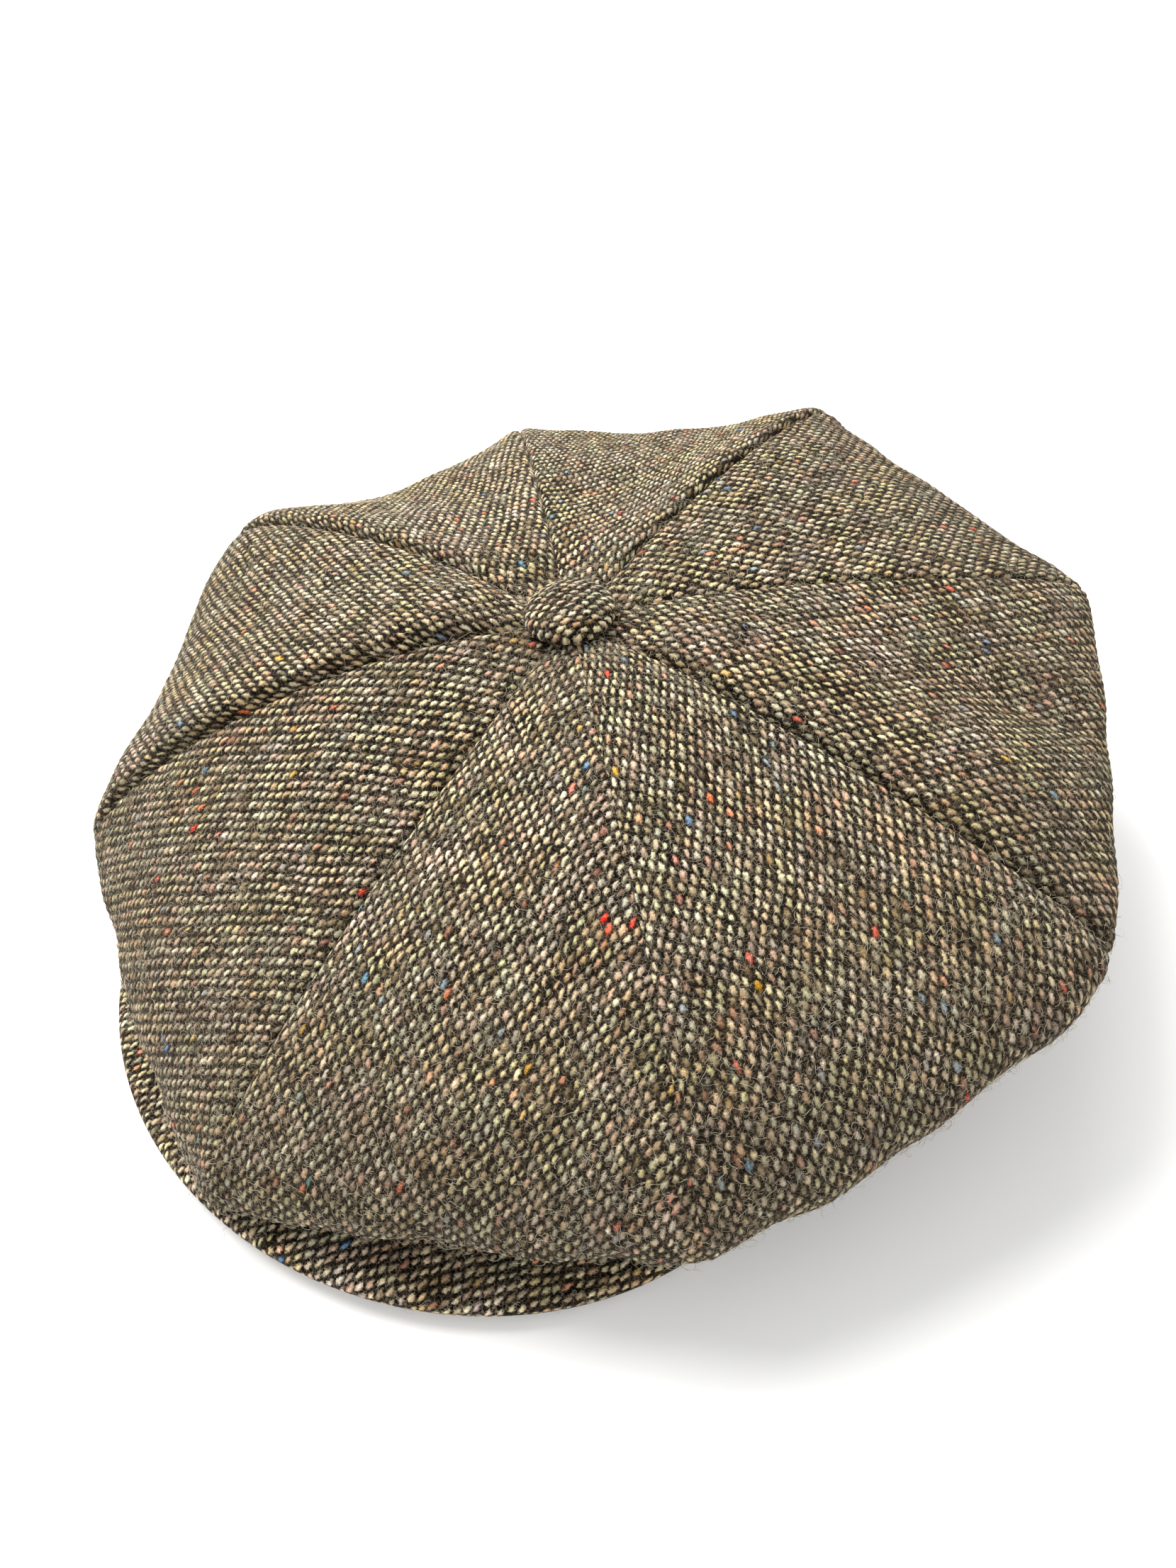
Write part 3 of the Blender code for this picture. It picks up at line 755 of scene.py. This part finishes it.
def crown_panel(panel):
    name, _, _, roll_first, roll_second, wide_first, wide_second, turn = PANELS[panel]
    along, distance = even_rows(panel, ROWS, False)
    across = np.linspace(-1.0, 1.0, COLUMNS)
    grid = panel_surface(panel, along, across)
    x = across_rows(grid)
    y = np.broadcast_to(distance[:, None], x.shape)
    half = x[:, -1:]
    from_first, from_second = x - x[:, :1], half - x
    normal = face_seams(grid_normals(grid), panel, along, x, 3.5 * MM, False)
    sideways = unit(np.gradient(grid, axis=1))

    starts = smoothstep((y - 7 * MM) / (26 * MM))
    lift = np.zeros_like(x)
    slide = np.zeros_like(x)
    for seam, away, roll, wide, toward in (
        (panel, from_first, roll_first, wide_first, -1.0),
        (panel + 1, from_second, roll_second, wide_second, 1.0),
    ):
        groove = SEAM_GROOVES[seam % TURN] * MM
        ends = LONG_ROLL_END if (panel, seam) == LONG_ROLL else ROLL_END
        ends = 1.0 - 0.85 * smoothstep((along[:, None] - ends) / 0.35)
        strength = roll * MM * starts * ends
        reach = np.minimum(wide * MM, 0.7 * half)
        fade = np.minimum(2.4 * reach + 4 * MM, half)
        lift += rolled(away, strength, reach, fade)
        slide += toward * 0.35 * strength * np.sin(math.pi * np.clip(away / (1.5 * reach), 0, 1))
        lift -= groove * np.exp(-((away / (1.1 * MM)) ** 2)) * smoothstep((y - 4 * MM) / (10 * MM))
    near = np.minimum(from_first, from_second)
    quiet = smoothstep(near / (9 * MM)) * smoothstep((y - 10 * MM) / (20 * MM))
    lift += quiet * 0.45 * MM * waves(x, y, 10 + panel, 46 * MM)
    lift += quiet * 0.18 * MM * waves(x, y, 40 + panel, 19 * MM)
    lift += swells(panel, x, y, near)
    hem = smoothstep((along[:, None] - 0.5) / 0.25)
    lift += quiet * hem * 0.5 * MM * waves(x, y, 70 + panel, 26 * MM)

    outer = grid + normal * lift[..., None] + sideways * slide[..., None]
    inner = outer - normal * TWEED_THICKNESS
    cloth_across, cloth_along = woven(across_rows(outer), y, turn, 300 + 2 * panel)
    edge = smoothstep(near / (1.2 * MM)) * smoothstep((y - 3 * MM) / (6 * MM))
    outer = outer + normal * (relief(cloth_across, cloth_along) * edge)[..., None]
    weave = np.stack([cloth_across, cloth_along, np.full_like(x, 1.0 + panel)], -1)
    piece = skin("tweed_panel_" + name, outer, inner, weave, TWEED, sparse=4)
    on_cap(piece, "crown_panel_" + name)
    return outer, normal


def lining_panel(panel):
    name = PANELS[panel][0]
    rows, columns = ((130, 61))
    along, distance = even_rows(panel, rows, True)
    across = np.linspace(-1.0, 1.0, columns)
    grid = panel_surface(panel, along, across, lined=True)
    x = across_rows(grid)
    y = np.broadcast_to(distance[:, None], x.shape)
    near = np.minimum(x - x[:, :1], x[:, -1:] - x)
    normal = face_seams(grid_normals(grid), panel, along, x, 3.0 * MM, True)
    quiet = smoothstep(near / (5 * MM)) * smoothstep((y - 8 * MM) / (20 * MM))
    lift = 0.5 * MM * np.exp(-((near / (0.9 * MM)) ** 2))
    lift -= quiet * 0.5 * MM * (1.0 + waves(x, y, 100 + panel, 26 * MM))
    lift -= quiet * 0.25 * MM * waves(x, y, 130 + panel, 11 * MM)
    lift += 1.15 * np.minimum(swells(panel, x * 1.05, y * 1.05, near), 0.0)
    gather = smoothstep((along[:, None] - 0.9) / 0.1)
    lift -= gather * 0.25 * MM * np.sin(x / (2.2 * MM))
    outer = grid + normal * lift[..., None]
    inner = outer - normal * SATIN_THICKNESS
    weave = np.stack([x, y, np.full_like(x, 20.0 + panel)], -1)
    piece = skin("satin_panel_" + name, outer, inner, weave, SATIN)
    on_cap(piece, "lining_panel_" + name)


crown = [crown_panel(panel) for panel in range(TURN)]
for panel in range(TURN):
    lining_panel(panel)


# ---- band
def ring(name, profile, rows, replaced, material, seed, thickness, ripple, segments):
    """A sheet bent into an upright oval: profile lists (grow, height) from its lower edge up
    on the outer side, and the inner side stands a thickness further in."""
    profile = np.array(profile)
    rise = np.concatenate([[0.0], np.cumsum(norm(np.diff(profile, axis=0), axis=1))])
    even = np.linspace(0.0, rise[-1], rows)
    profile = np.stack([np.interp(even, rise, profile[:, i]) for i in (0, 1)], -1)
    angle = around(segments)
    mean = oval(angle, float(profile[:, 0].mean()))
    step = norm(np.roll(mean, -1, 0) - mean, axis=1)
    run = np.concatenate([[0.0], np.cumsum(step)[:-1]])
    slope = unit(np.gradient(profile, even, axis=0))
    across, along = np.meshgrid(run, even)
    bumps = np.zeros_like(across)
    if material == TWEED:
        whole = 2 * YARN_ACROSS
        across = across * (round(step.sum() / whole) * whole / step.sum())
        bumps = relief(across, along) * smoothstep(np.minimum(even, even[-1] - even) / MM)[:, None]
    wave = ripple * np.sin(angle * 23 + 0.7) * np.sin(angle * 7 + 1.1)
    grids = []
    for level in (bumps, np.full_like(bumps, -thickness)):
        grow = profile[:, :1] + level * slope[:, 1:] + wave
        height = profile[:, 1:] - level * slope[:, :1]
        at = np.stack([oval(angle, row) for row in grow])
        grids.append(np.concatenate([at, height[..., None]], axis=-1))
    weave = np.stack(np.broadcast_arrays(across, along, float(seed)), -1)
    piece = skin(name, *grids, weave, material, wrap=True, sharp=60.0, sparse=2)
    on_cap(piece, replaced)


def band_profile(grow, low, high, bend, belly):
    """An outline from the lower edge up that rounds in at both edges and bellies between."""
    lines = []
    for t in np.linspace(0.0, 1.0, 5):
        a = t * math.pi / 2
        lines.append((grow - bend * (1 - math.sin(a)), low + bend * (1 - math.cos(a))))
    for t in np.linspace(0.1, 0.9, 12):
        height = low + bend + (high - low - 2 * bend) * t
        lines.append((grow + belly * math.sin(math.pi * t), height))
    for t in np.linspace(1.0, 0.0, 5):
        a = t * math.pi / 2
        lines.append((grow - bend * (1 - math.sin(a)), high - bend * (1 - math.cos(a))))
    return lines


ring(
    "tweed_headband", band_profile(BAND_OUTSIDE, 0.0, BAND_HEIGHT, 1.2 * MM, 0.25 * MM), 61,
    "headband", TWEED, 31, 1.15 * MM, 0.12 * MM, 1180,
)
ring(
    "sweatband_tape", band_profile(0.75 * MM, 1.0 * MM, BAND_HEIGHT + 0.2 * MM, 0.5 * MM, 0.0),
    41, "sweatband", SWEAT, 32, 0.6 * MM, 0.1 * MM, 600,
)

for node, material in (
    ("band_stiffener", BUCKRAM), ("button_shell", METAL), ("button_collet", METAL),
    ("button_shank", METAL), ("snap_stud", BRASS), ("snap_socket", BRASS),
):
    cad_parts[node].data.materials.clear()
    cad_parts[node].data.materials.append(material)

# ---- peak
PEAK_HALF_WIDTH = 99.6 * MM
PEAK_HALF_DEPTH = 82.0 * MM
PEAK_CENTRE_Y = -59.5 * MM
PEAK_EDGE_END = math.radians(115.0)
PEAK_ROOT_END = math.radians(72.0)
PEAK_LOWEST = 0.6 * MM
PEAK_ARCH = 2.4 * MM
PEAK_ROOT_RISE = 2.0 * MM
PEAK_THICKNESS = 4.8 * MM
PEAK_CLOTH = 1.2 * MM
PEAK_BOARD = 1.6 * MM
# Where the peak's weave starts along: it keeps the peak clear of the nap and of the painted shade
# that darkens the crown down from the button.
PEAK_WEAVE_FROM = -0.1


def peak_point(u, out, level):
    """A point of the peak: u from end to end, out from root (0) to edge (1), level its height
    above the middle of its thickness."""
    root = oval(u * PEAK_ROOT_END, BAND_OUTSIDE + 0.1 * MM)
    turn = u * PEAK_EDGE_END
    edge_y = PEAK_CENTRE_Y - PEAK_HALF_DEPTH * np.cos(turn)
    edge = np.stack([PEAK_HALF_WIDTH * np.sin(turn), edge_y], -1)
    at = root * (1 - out)[..., None] + edge * out[..., None]
    arch = PEAK_ARCH * (1.0 - (at[..., 0] / PEAK_HALF_WIDTH) ** 2)
    rise = PEAK_ROOT_RISE * ((at[..., 1] - PEAK_CENTRE_Y) / PEAK_HALF_DEPTH + 1.0)
    z = PEAK_LOWEST + arch + rise + PEAK_THICKNESS / 2 + level
    return np.concatenate([at, z[..., None]], axis=-1)


def peak_cover(name, side, replaced):
    """The cloth over (side 1) or under (side -1) the peak, turned round its edge."""
    columns, rows, turned = ((441, 121, 32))
    u = np.linspace(-1.0, 1.0, columns)
    edge_round = PEAK_THICKNESS / 2
    turn = 1.0 - np.cos(np.linspace(0.0, math.pi / 2, turned + 1)[1:])
    out = np.concatenate([np.linspace(0.0, 0.96, rows), 1.0 - 0.04 * turn[::-1][1:], [1.0]])
    u2, out2 = np.meshgrid(u, out)
    flat = peak_point(u2, out2, 0.0 * u2)
    rim = peak_point(u2, np.ones_like(u2), 0.0 * u2)
    from_edge = norm((flat - rim)[..., :2], axis=2)
    t = np.clip(from_edge / edge_round, 0.0, 1.0)
    half = edge_round * np.sqrt(np.maximum(1 - (1 - t) ** 2, 0.0))
    tip = smoothstep((1.0 - np.abs(u2)) / 0.06)
    half = half * (0.35 + 0.65 * tip)
    x, y = flat[..., 0], flat[..., 1]
    uneven = 0.18 * MM * waves(x, y, 200 + side, 22 * MM)
    uneven += 0.08 * MM * waves(x, y, 210 + side, 9 * MM)
    smooth = peak_point(u2, out2, side * (half + uneven * t))

    # The weave runs on over the edge: what the cloth falls there is added to its flat place.
    step = norm(np.diff(smooth, axis=0), axis=2)
    flat_step = norm(np.diff(smooth[..., :2], axis=0), axis=2)
    extra = np.concatenate([np.zeros((1, columns)), np.cumsum(step - flat_step, axis=0)])
    away = np.gradient(flat[..., :2], axis=0)
    away /= np.maximum(norm(away, axis=2, keepdims=True), 1e-9)
    run_x = x + away[..., 0] * extra
    run_y = PEAK_WEAVE_FROM - y - away[..., 1] * extra
    across, along = woven(run_x, run_y, 4.0, 400 + side)
    normal = grid_normals(smooth)
    normal *= np.where(normal[..., 2:].mean() * side < 0, -1.0, 1.0)
    outer = smooth + normal * (relief(across, along) * smoothstep(from_edge / MM))[..., None]
    inside = np.maximum(half - PEAK_CLOTH, 0.02 * MM)
    inner = peak_point(u2, out2 - 0.25 * PEAK_CLOTH / (60 * MM) * (1 - t), side * inside)
    weave = np.stack([across, along, np.full_like(x, 40.0 + side)], -1)
    piece = skin(name, outer, inner, weave, TWEED, sharp=70.0, sparse=4)
    across_root(piece, replaced)
    quads = np.cross(np.diff(smooth, axis=0)[:, :-1], np.diff(smooth, axis=1)[:-1])
    area = float(norm(quads, axis=2).sum())
    return outer


def peak_board():
    """The stiff sheet between the two covers."""
    u, out = np.meshgrid(np.linspace(-0.96, 0.96, 161), np.linspace(0.03, 0.955, 61))
    half = PEAK_BOARD / 2
    grids = [peak_point(u, out, side * np.full_like(u, half)) for side in (1, -1)]
    piece = skin("peak_board", *grids, np.zeros((*u.shape, 3)), BOARD)
    across_root(piece, "peak_core")


peak_top = peak_cover("tweed_peak_top", 1, "peak_top_cover")
peak_cover("tweed_peak_under", -1, "peak_under_cover")
peak_board()


SHANK_WAIST = 1.9 * MM
SHANK_FLARE = 1.4 * MM
SHANK_WINDINGS = 15


def snap_shank():
    """The wound thread that holds the snap's socket under the crown's lip."""
    low, high = (np.array(corner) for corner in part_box("snap_socket"))
    x, y = (low + high)[:2] / 2
    points = np.concatenate([crown[p][0].reshape(-1, 3) for p in (7, 0)])
    down = np.concatenate([crown[p][1].reshape(-1, 3) for p in (7, 0)])[:, 2] < 0
    near = down & (np.hypot(points[:, 0] - x, points[:, 1] - y) < 5 * MM)
    slope, rise = np.polyfit(points[near, 1] - y, points[near, 2], 1)
    angle = around(60)
    t = np.linspace(0.0, 1.0, 91)[:, None]
    wound = 0.16 * MM * np.abs(np.sin(math.pi * SHANK_WINDINGS * t + angle / 2))
    grids = []
    for inset in (0.0, 0.7 * MM):
        radius = SHANK_WAIST + SHANK_FLARE * np.abs(2 * t - 1) ** 3 + wound - inset
        across, back = radius * np.cos(angle), radius * np.sin(angle)
        foot = high[2] - 0.2 * MM
        head = rise + slope * back + 0.7 * MM
        grids.append(np.stack([x + across, y + back, foot + (head - foot) * t], -1))
    piece = skin("snap_thread_shank", *grids, np.zeros_like(grids[0]), THREAD, wrap=True)
    on_cap(piece)


snap_shank()

# ---- button
BUTTON_RADIUS = 11.5 * MM
BUTTON_RISE = 5.1 * MM
BUTTON_WEAVE_TURN = 42.0
BUTTON_PLACE = (
    Matrix.Translation((CROWN_CENTRE[0], CROWN_CENTRE[1], APEX_HEIGHT + 2.5 * MM))
    @ Matrix.Rotation(math.radians(1.0), 4, "X")
)


def covered_button():
    rings, segments = ((60, 180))
    angle = around(segments)
    grids = []
    for inset in (0.0, 1.0 * MM):
        rows = []
        for t in np.linspace(0.02, 1.32, rings):
            a = t * math.pi / 2
            radius = (BUTTON_RADIUS - inset) * math.sin(min(a, math.pi / 2)) ** 0.92
            height = (BUTTON_RISE - inset) * math.cos(a)
            if a > math.pi / 2:
                tuck = (a - math.pi / 2) / (0.32 * math.pi / 2)
                radius -= 2.6 * MM * tuck**1.5
                height = -2.9 * MM * tuck
            pleats = np.sin(angle * 14 + 1.3 * np.sin(angle * 3))
            reach = radius + 0.22 * MM * smoothstep((t - 0.7) / 0.5) * pleats
            level = np.full(segments, height)
            rows.append(np.stack([reach * np.cos(angle), reach * np.sin(angle), level], -1))
        grids.append(np.array(rows))
    outer, inner = grids
    turn = math.radians(BUTTON_WEAVE_TURN)
    x = outer[..., 0] * math.cos(turn) - outer[..., 1] * math.sin(turn)
    y = outer[..., 0] * math.sin(turn) + outer[..., 1] * math.cos(turn)
    depth = 0.9 * (BUTTON_RISE - outer[..., 2])
    radial = np.maximum(np.hypot(x, y), 1e-6)
    stretch = 1 + 0.35 * depth / radial * smoothstep(radial / (6 * MM))
    weave = np.stack([x * stretch, y * stretch, np.full_like(x, 33.0)], -1)
    bumps = relief(x * stretch, y * stretch)
    bumps *= smoothstep((BUTTON_RISE * 1.6 + outer[..., 2]) / BUTTON_RISE)
    outer = outer + unit(outer * np.array([1.0, 1.0, 3.0])) * bumps[..., None]
    matrix = np.array(BUTTON_PLACE)
    outer, inner = (g @ matrix[:3, :3].T + matrix[:3, 3] for g in (outer, inner))
    piece = skin("tweed_button_cover", outer, inner, weave, TWEED, wrap=True, sharp=70.0)
    on_cap(piece, "button_cover")


covered_button()

# ---- size tab
def size_tab():
    width, height, foot = 16 * MM, 10 * MM, 12 * MM
    u, v = np.meshgrid(np.linspace(-1, 1, 41), np.linspace(0, 1, 25))
    angle = math.pi + u * width / 2 / HEAD_HALF[0]
    curl = 0.35 * MM * np.abs(u) ** 6 + 0.25 * MM * np.sin(v * math.pi)
    level = (foot + v * height)[..., None]
    outer, inner = (
        np.concatenate([oval(angle, gap * MM - curl), level], -1) for gap in (-0.25, -0.5)
    )
    weave = np.stack([u * width / 2, v * height, np.full_like(u, 61.0)], -1)
    piece = skin("woven_size_tab", outer, inner, weave, TAPE)
    on_cap(piece, "size_tab")


size_tab()


# ---- stray fibres
HAIR_RADIUS = 0.055 * MM


def fibres(name, roots, normals, count, seed, length):
    """Fine curled wool hairs: thin closed tubes that stand out of the cloth a little."""
    rng = np.random.default_rng(seed)
    knots, sides = 11, 3
    picked = rng.integers(0, len(roots), count)
    root, n = roots[picked], normals[picked]
    along = rng.normal(size=(count, 3))
    along = unit(along - n * (along * n).sum(1, keepdims=True))
    side = np.cross(n, along)
    t = np.linspace(0.0, 1.0, knots)
    curl = rng.normal(0.0, 3.2, (count, 1))
    heading = curl * t + rng.uniform(0.2, 1.3, (count, 1)) * np.sin(
        t * rng.uniform(4.0, 11.0, (count, 1)) + rng.uniform(0, 6.3, (count, 1))
    )
    step = (length * rng.uniform(0.35, 1.5, (count, 1)) / (knots - 1))[..., None]
    path = np.cos(heading)[..., None] * along[:, None] + np.sin(heading)[..., None] * side[:, None]
    path = np.cumsum(path * step, axis=1)
    stand = rng.uniform(0.15, 1.0, (count, 1)) ** 2 * 1.3 * MM
    bend = math.pi * np.minimum(t * rng.uniform(0.6, 1.1, (count, 1)), 1.0)
    lift = 0.15 * MM + stand * np.sin(bend)
    line = root[:, None] + path + lift[..., None] * n[:, None]
    thick = HAIR_RADIUS * (1.0 - 0.5 * t)[None, :, None, None]
    turn = 2 * math.pi * np.arange(sides) / sides
    ring_of = np.cos(turn)[:, None] * n[:, None, None] + np.sin(turn)[:, None] * side[:, None, None]
    points = (line[:, :, None] + thick * ring_of).reshape(-1, 3)
    base = (np.arange(count) * knots * sides)[:, None, None]
    k, s = np.arange(knots - 1)[None, :, None] * sides, np.arange(sides)[None, None, :]
    a, b = base + k + s, base + k + (s + 1) % sides
    faces = np.stack([a, b, b + sides, a + sides], -1).reshape(-1, 4).tolist()
    first = base[:, 0, 0]
    faces += np.stack([first + 2, first + 1, first], -1).tolist()
    last = first + (knots - 1) * sides
    faces += np.stack([last, last + 1, last + 2], -1).tolist()
    return mesh_object(name, points.tolist(), faces, None, FUZZ, sharp=None)


def crown_patch(panels, rows):
    """Points and normals of the cloth on some crown panels, off their seams."""
    return (
        np.concatenate([crown[panel][part][rows, 2:-2].reshape(-1, 3) for panel in panels])
        for part in (0, 1)
    )


WHOLE = slice(20, -40)
HEM = slice(int(0.5 * ROWS), int(0.86 * ROWS))
for name, panels, rows, count, few, seed, length in (
    ("left", (0, 1), WHOLE, 2800, 600, 7, 4.2),
    ("right", (6, 7), WHOLE, 2000, 600, 13, 4.2),
    ("back_left", (2, 3), WHOLE, 2000, 600, 9, 4.2),
    ("back_right", (4, 5), WHOLE, 2000, 600, 11, 4.2),
    ("hem", (7, 0, 1), HEM, 2800, 800, 21, 3.6),
):
    count = count
    hairs = fibres("stray_fibres_" + name, *crown_patch(panels, rows), count, seed, length * MM)
    on_cap(hairs)
peak_points = peak_top[:, 3:-3].reshape(-1, 3)
peak_normals = np.broadcast_to([0.0, 0.0, 1.0], peak_points.shape)
hairs = fibres("stray_fibres_peak", peak_points, peak_normals, 700, 8, 3.2 * MM)
across_root(hairs)


# ---- stage, light and camera
def stage_material():
    g = Graph("pale_floor", roughness=0.9, specular=0.1)
    grain = g.noise(g.place(), 3.0, 2.0)
    g.shader.inputs["Emission Color"].default_value = (1.0, 1.0, 1.0, 1.0)
    g.shader.inputs["Emission Strength"].default_value = 0.18
    return g.finish(g.mix(grain, (0.86, 0.86, 0.86), (0.88, 0.88, 0.88)))


FLOOR_CORNERS = [(-6, -6, 0), (6, -6, 0), (6, 6, 0), (-6, 6, 0)]
floor = mesh_object(
    "floor", FLOOR_CORNERS, [(0, 1, 2, 3)], None, stage_material(), sharp=None
)


LIGHT_AIM = Vector((0.0, 0.0, 0.04))
LIGHT_WIDTH = 1.3
LIGHT_COLOUR = (1.0, 0.99, 0.965)


def area_light(name, place, power):
    light = bpy.data.lights.new(name, "AREA")
    light.shape = "DISK"
    light.size = LIGHT_WIDTH
    light.energy = power
    light.color = LIGHT_COLOUR
    lamp = link(bpy.data.objects.new(name, light))
    lamp.location = place
    lamp.rotation_mode = "QUATERNION"
    lamp.rotation_quaternion = (LIGHT_AIM - Vector(place)).to_track_quat("-Z", "Y")


area_light("key", (-1.08, 0.15, 1.30), 42.0)
area_light("side", (-0.77, 0.77, 1.30), 13.0)


def studio_dome():
    world = bpy.context.scene.world or bpy.data.worlds.new("studio")
    bpy.context.scene.world = world
    world.use_nodes = True
    background = world.node_tree.nodes["Background"]
    background.inputs["Color"].default_value = (1.0, 1.0, 1.0, 1.0)
    background.inputs["Strength"].default_value = 0.77


studio_dome()
bpy.context.scene.view_settings.view_transform = "Standard"


# Azimuth, elevation and roll in degrees, then the point looked at, and the lens on a frame
# whose longer side is FRAME_SIDE, both in millimetres.
CAMERA_ANGLES = (42.578, 46.323, -7.902)
CAMERA_AIM = Vector((9.9, -6.8, 37.4)) * MM
CAMERA_DISTANCE = 0.3143
FRAME_SIDE = 36.0
LENS = 27.0227848


def camera():
    azimuth, elevation, roll = (math.radians(a) for a in CAMERA_ANGLES)
    back = Vector((
        math.sin(azimuth) * math.cos(elevation),
        -math.cos(azimuth) * math.cos(elevation),
        math.sin(elevation),
    ))
    right = (-back).cross(Vector((0, 0, 1))).normalized()
    up = right.cross(-back)
    tilted_right = right * math.cos(roll) + up * math.sin(roll)
    tilted_up = up * math.cos(roll) - right * math.sin(roll)
    data = bpy.data.cameras.new("camera")
    data.sensor_width = FRAME_SIDE
    data.lens = LENS
    data.clip_start, data.clip_end = 0.02, 30.0
    eye = link(bpy.data.objects.new("camera", data))
    turn = Matrix((tilted_right, tilted_up, back)).transposed().to_4x4()
    eye.matrix_world = Matrix.Translation(CAMERA_AIM + back * CAMERA_DISTANCE) @ turn
    bpy.context.scene.camera = eye


camera()
